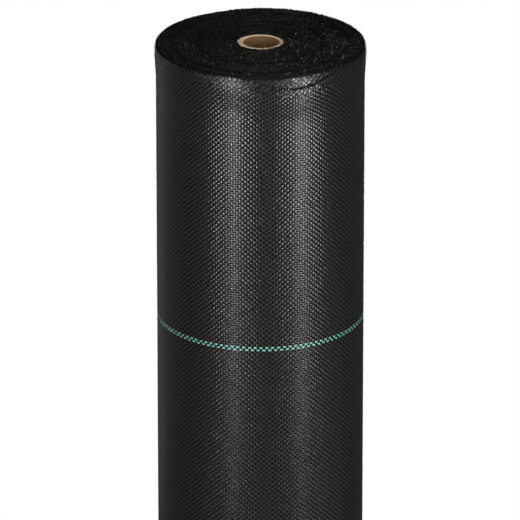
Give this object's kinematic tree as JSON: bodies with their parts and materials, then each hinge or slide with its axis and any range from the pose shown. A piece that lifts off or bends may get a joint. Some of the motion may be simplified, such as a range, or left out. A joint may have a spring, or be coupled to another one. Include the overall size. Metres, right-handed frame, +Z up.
{
  "type": "roll of weed control fabric",
  "caption": "Upright roll of black woven ground cover cloth wound on an open cardboard core, with teal tracer lines and a free end that lifts.",
  "frame": {"origin": "middle of the lower end, on the surface that the roll stands on", "axes": "+Z up along the core; -Y is the pictured side; the free end of the web is at +Y"},
  "size_m": [0.1818, 0.1815, 1],
  "materials": {
    "black_web": "plain weave of flat black polypropylene tapes, with a soft gloss along each tape",
    "black_edges": "cut edges of the wound web, matt, with fine pale flecks",
    "teal_tracer": "flat teal polypropylene tape, woven in as a warp tape",
    "core_liner": "brown kraft paper ply, matt",
    "core_board": "pale grey-brown paperboard plies, matt, cut end slightly fuzzy",
    "core_wrap": "brown kraft paper ply, matt",
    "adhesive_strip": "thin buff adhesive strip"
  },
  "bodies": {
    "roll": {"core_inner_ply": "core_liner", "core_body": "core_board", "core_outer_ply": "core_wrap", "start_tape": "adhesive_strip", "fabric_inner_turns": "black_web", "fabric_pack": "black_edges", "fabric_outer_turns": "black_web", "tracer_1_a": "teal_tracer", "tracer_1_b": "teal_tracer", "tracer_2_a": "teal_tracer", "tracer_2_b": "teal_tracer", "tracer_3_a": "teal_tracer", "tracer_3_b": "teal_tracer"},
    "tail": {"fabric_tail": "black_web", "tail_tracer_1_a": "teal_tracer", "tail_tracer_1_b": "teal_tracer", "tail_tracer_2_a": "teal_tracer", "tail_tracer_2_b": "teal_tracer", "tail_tracer_3_a": "teal_tracer", "tail_tracer_3_b": "teal_tracer"}
  },
  "joints": [
    {"name": "tail_lift", "type": "hinge", "parent": "roll", "child": "tail", "pos_m": [0.02781, 0.0856, 0.5], "axis": [0, 0, -1], "range_deg": [0, 110]}
  ]
}
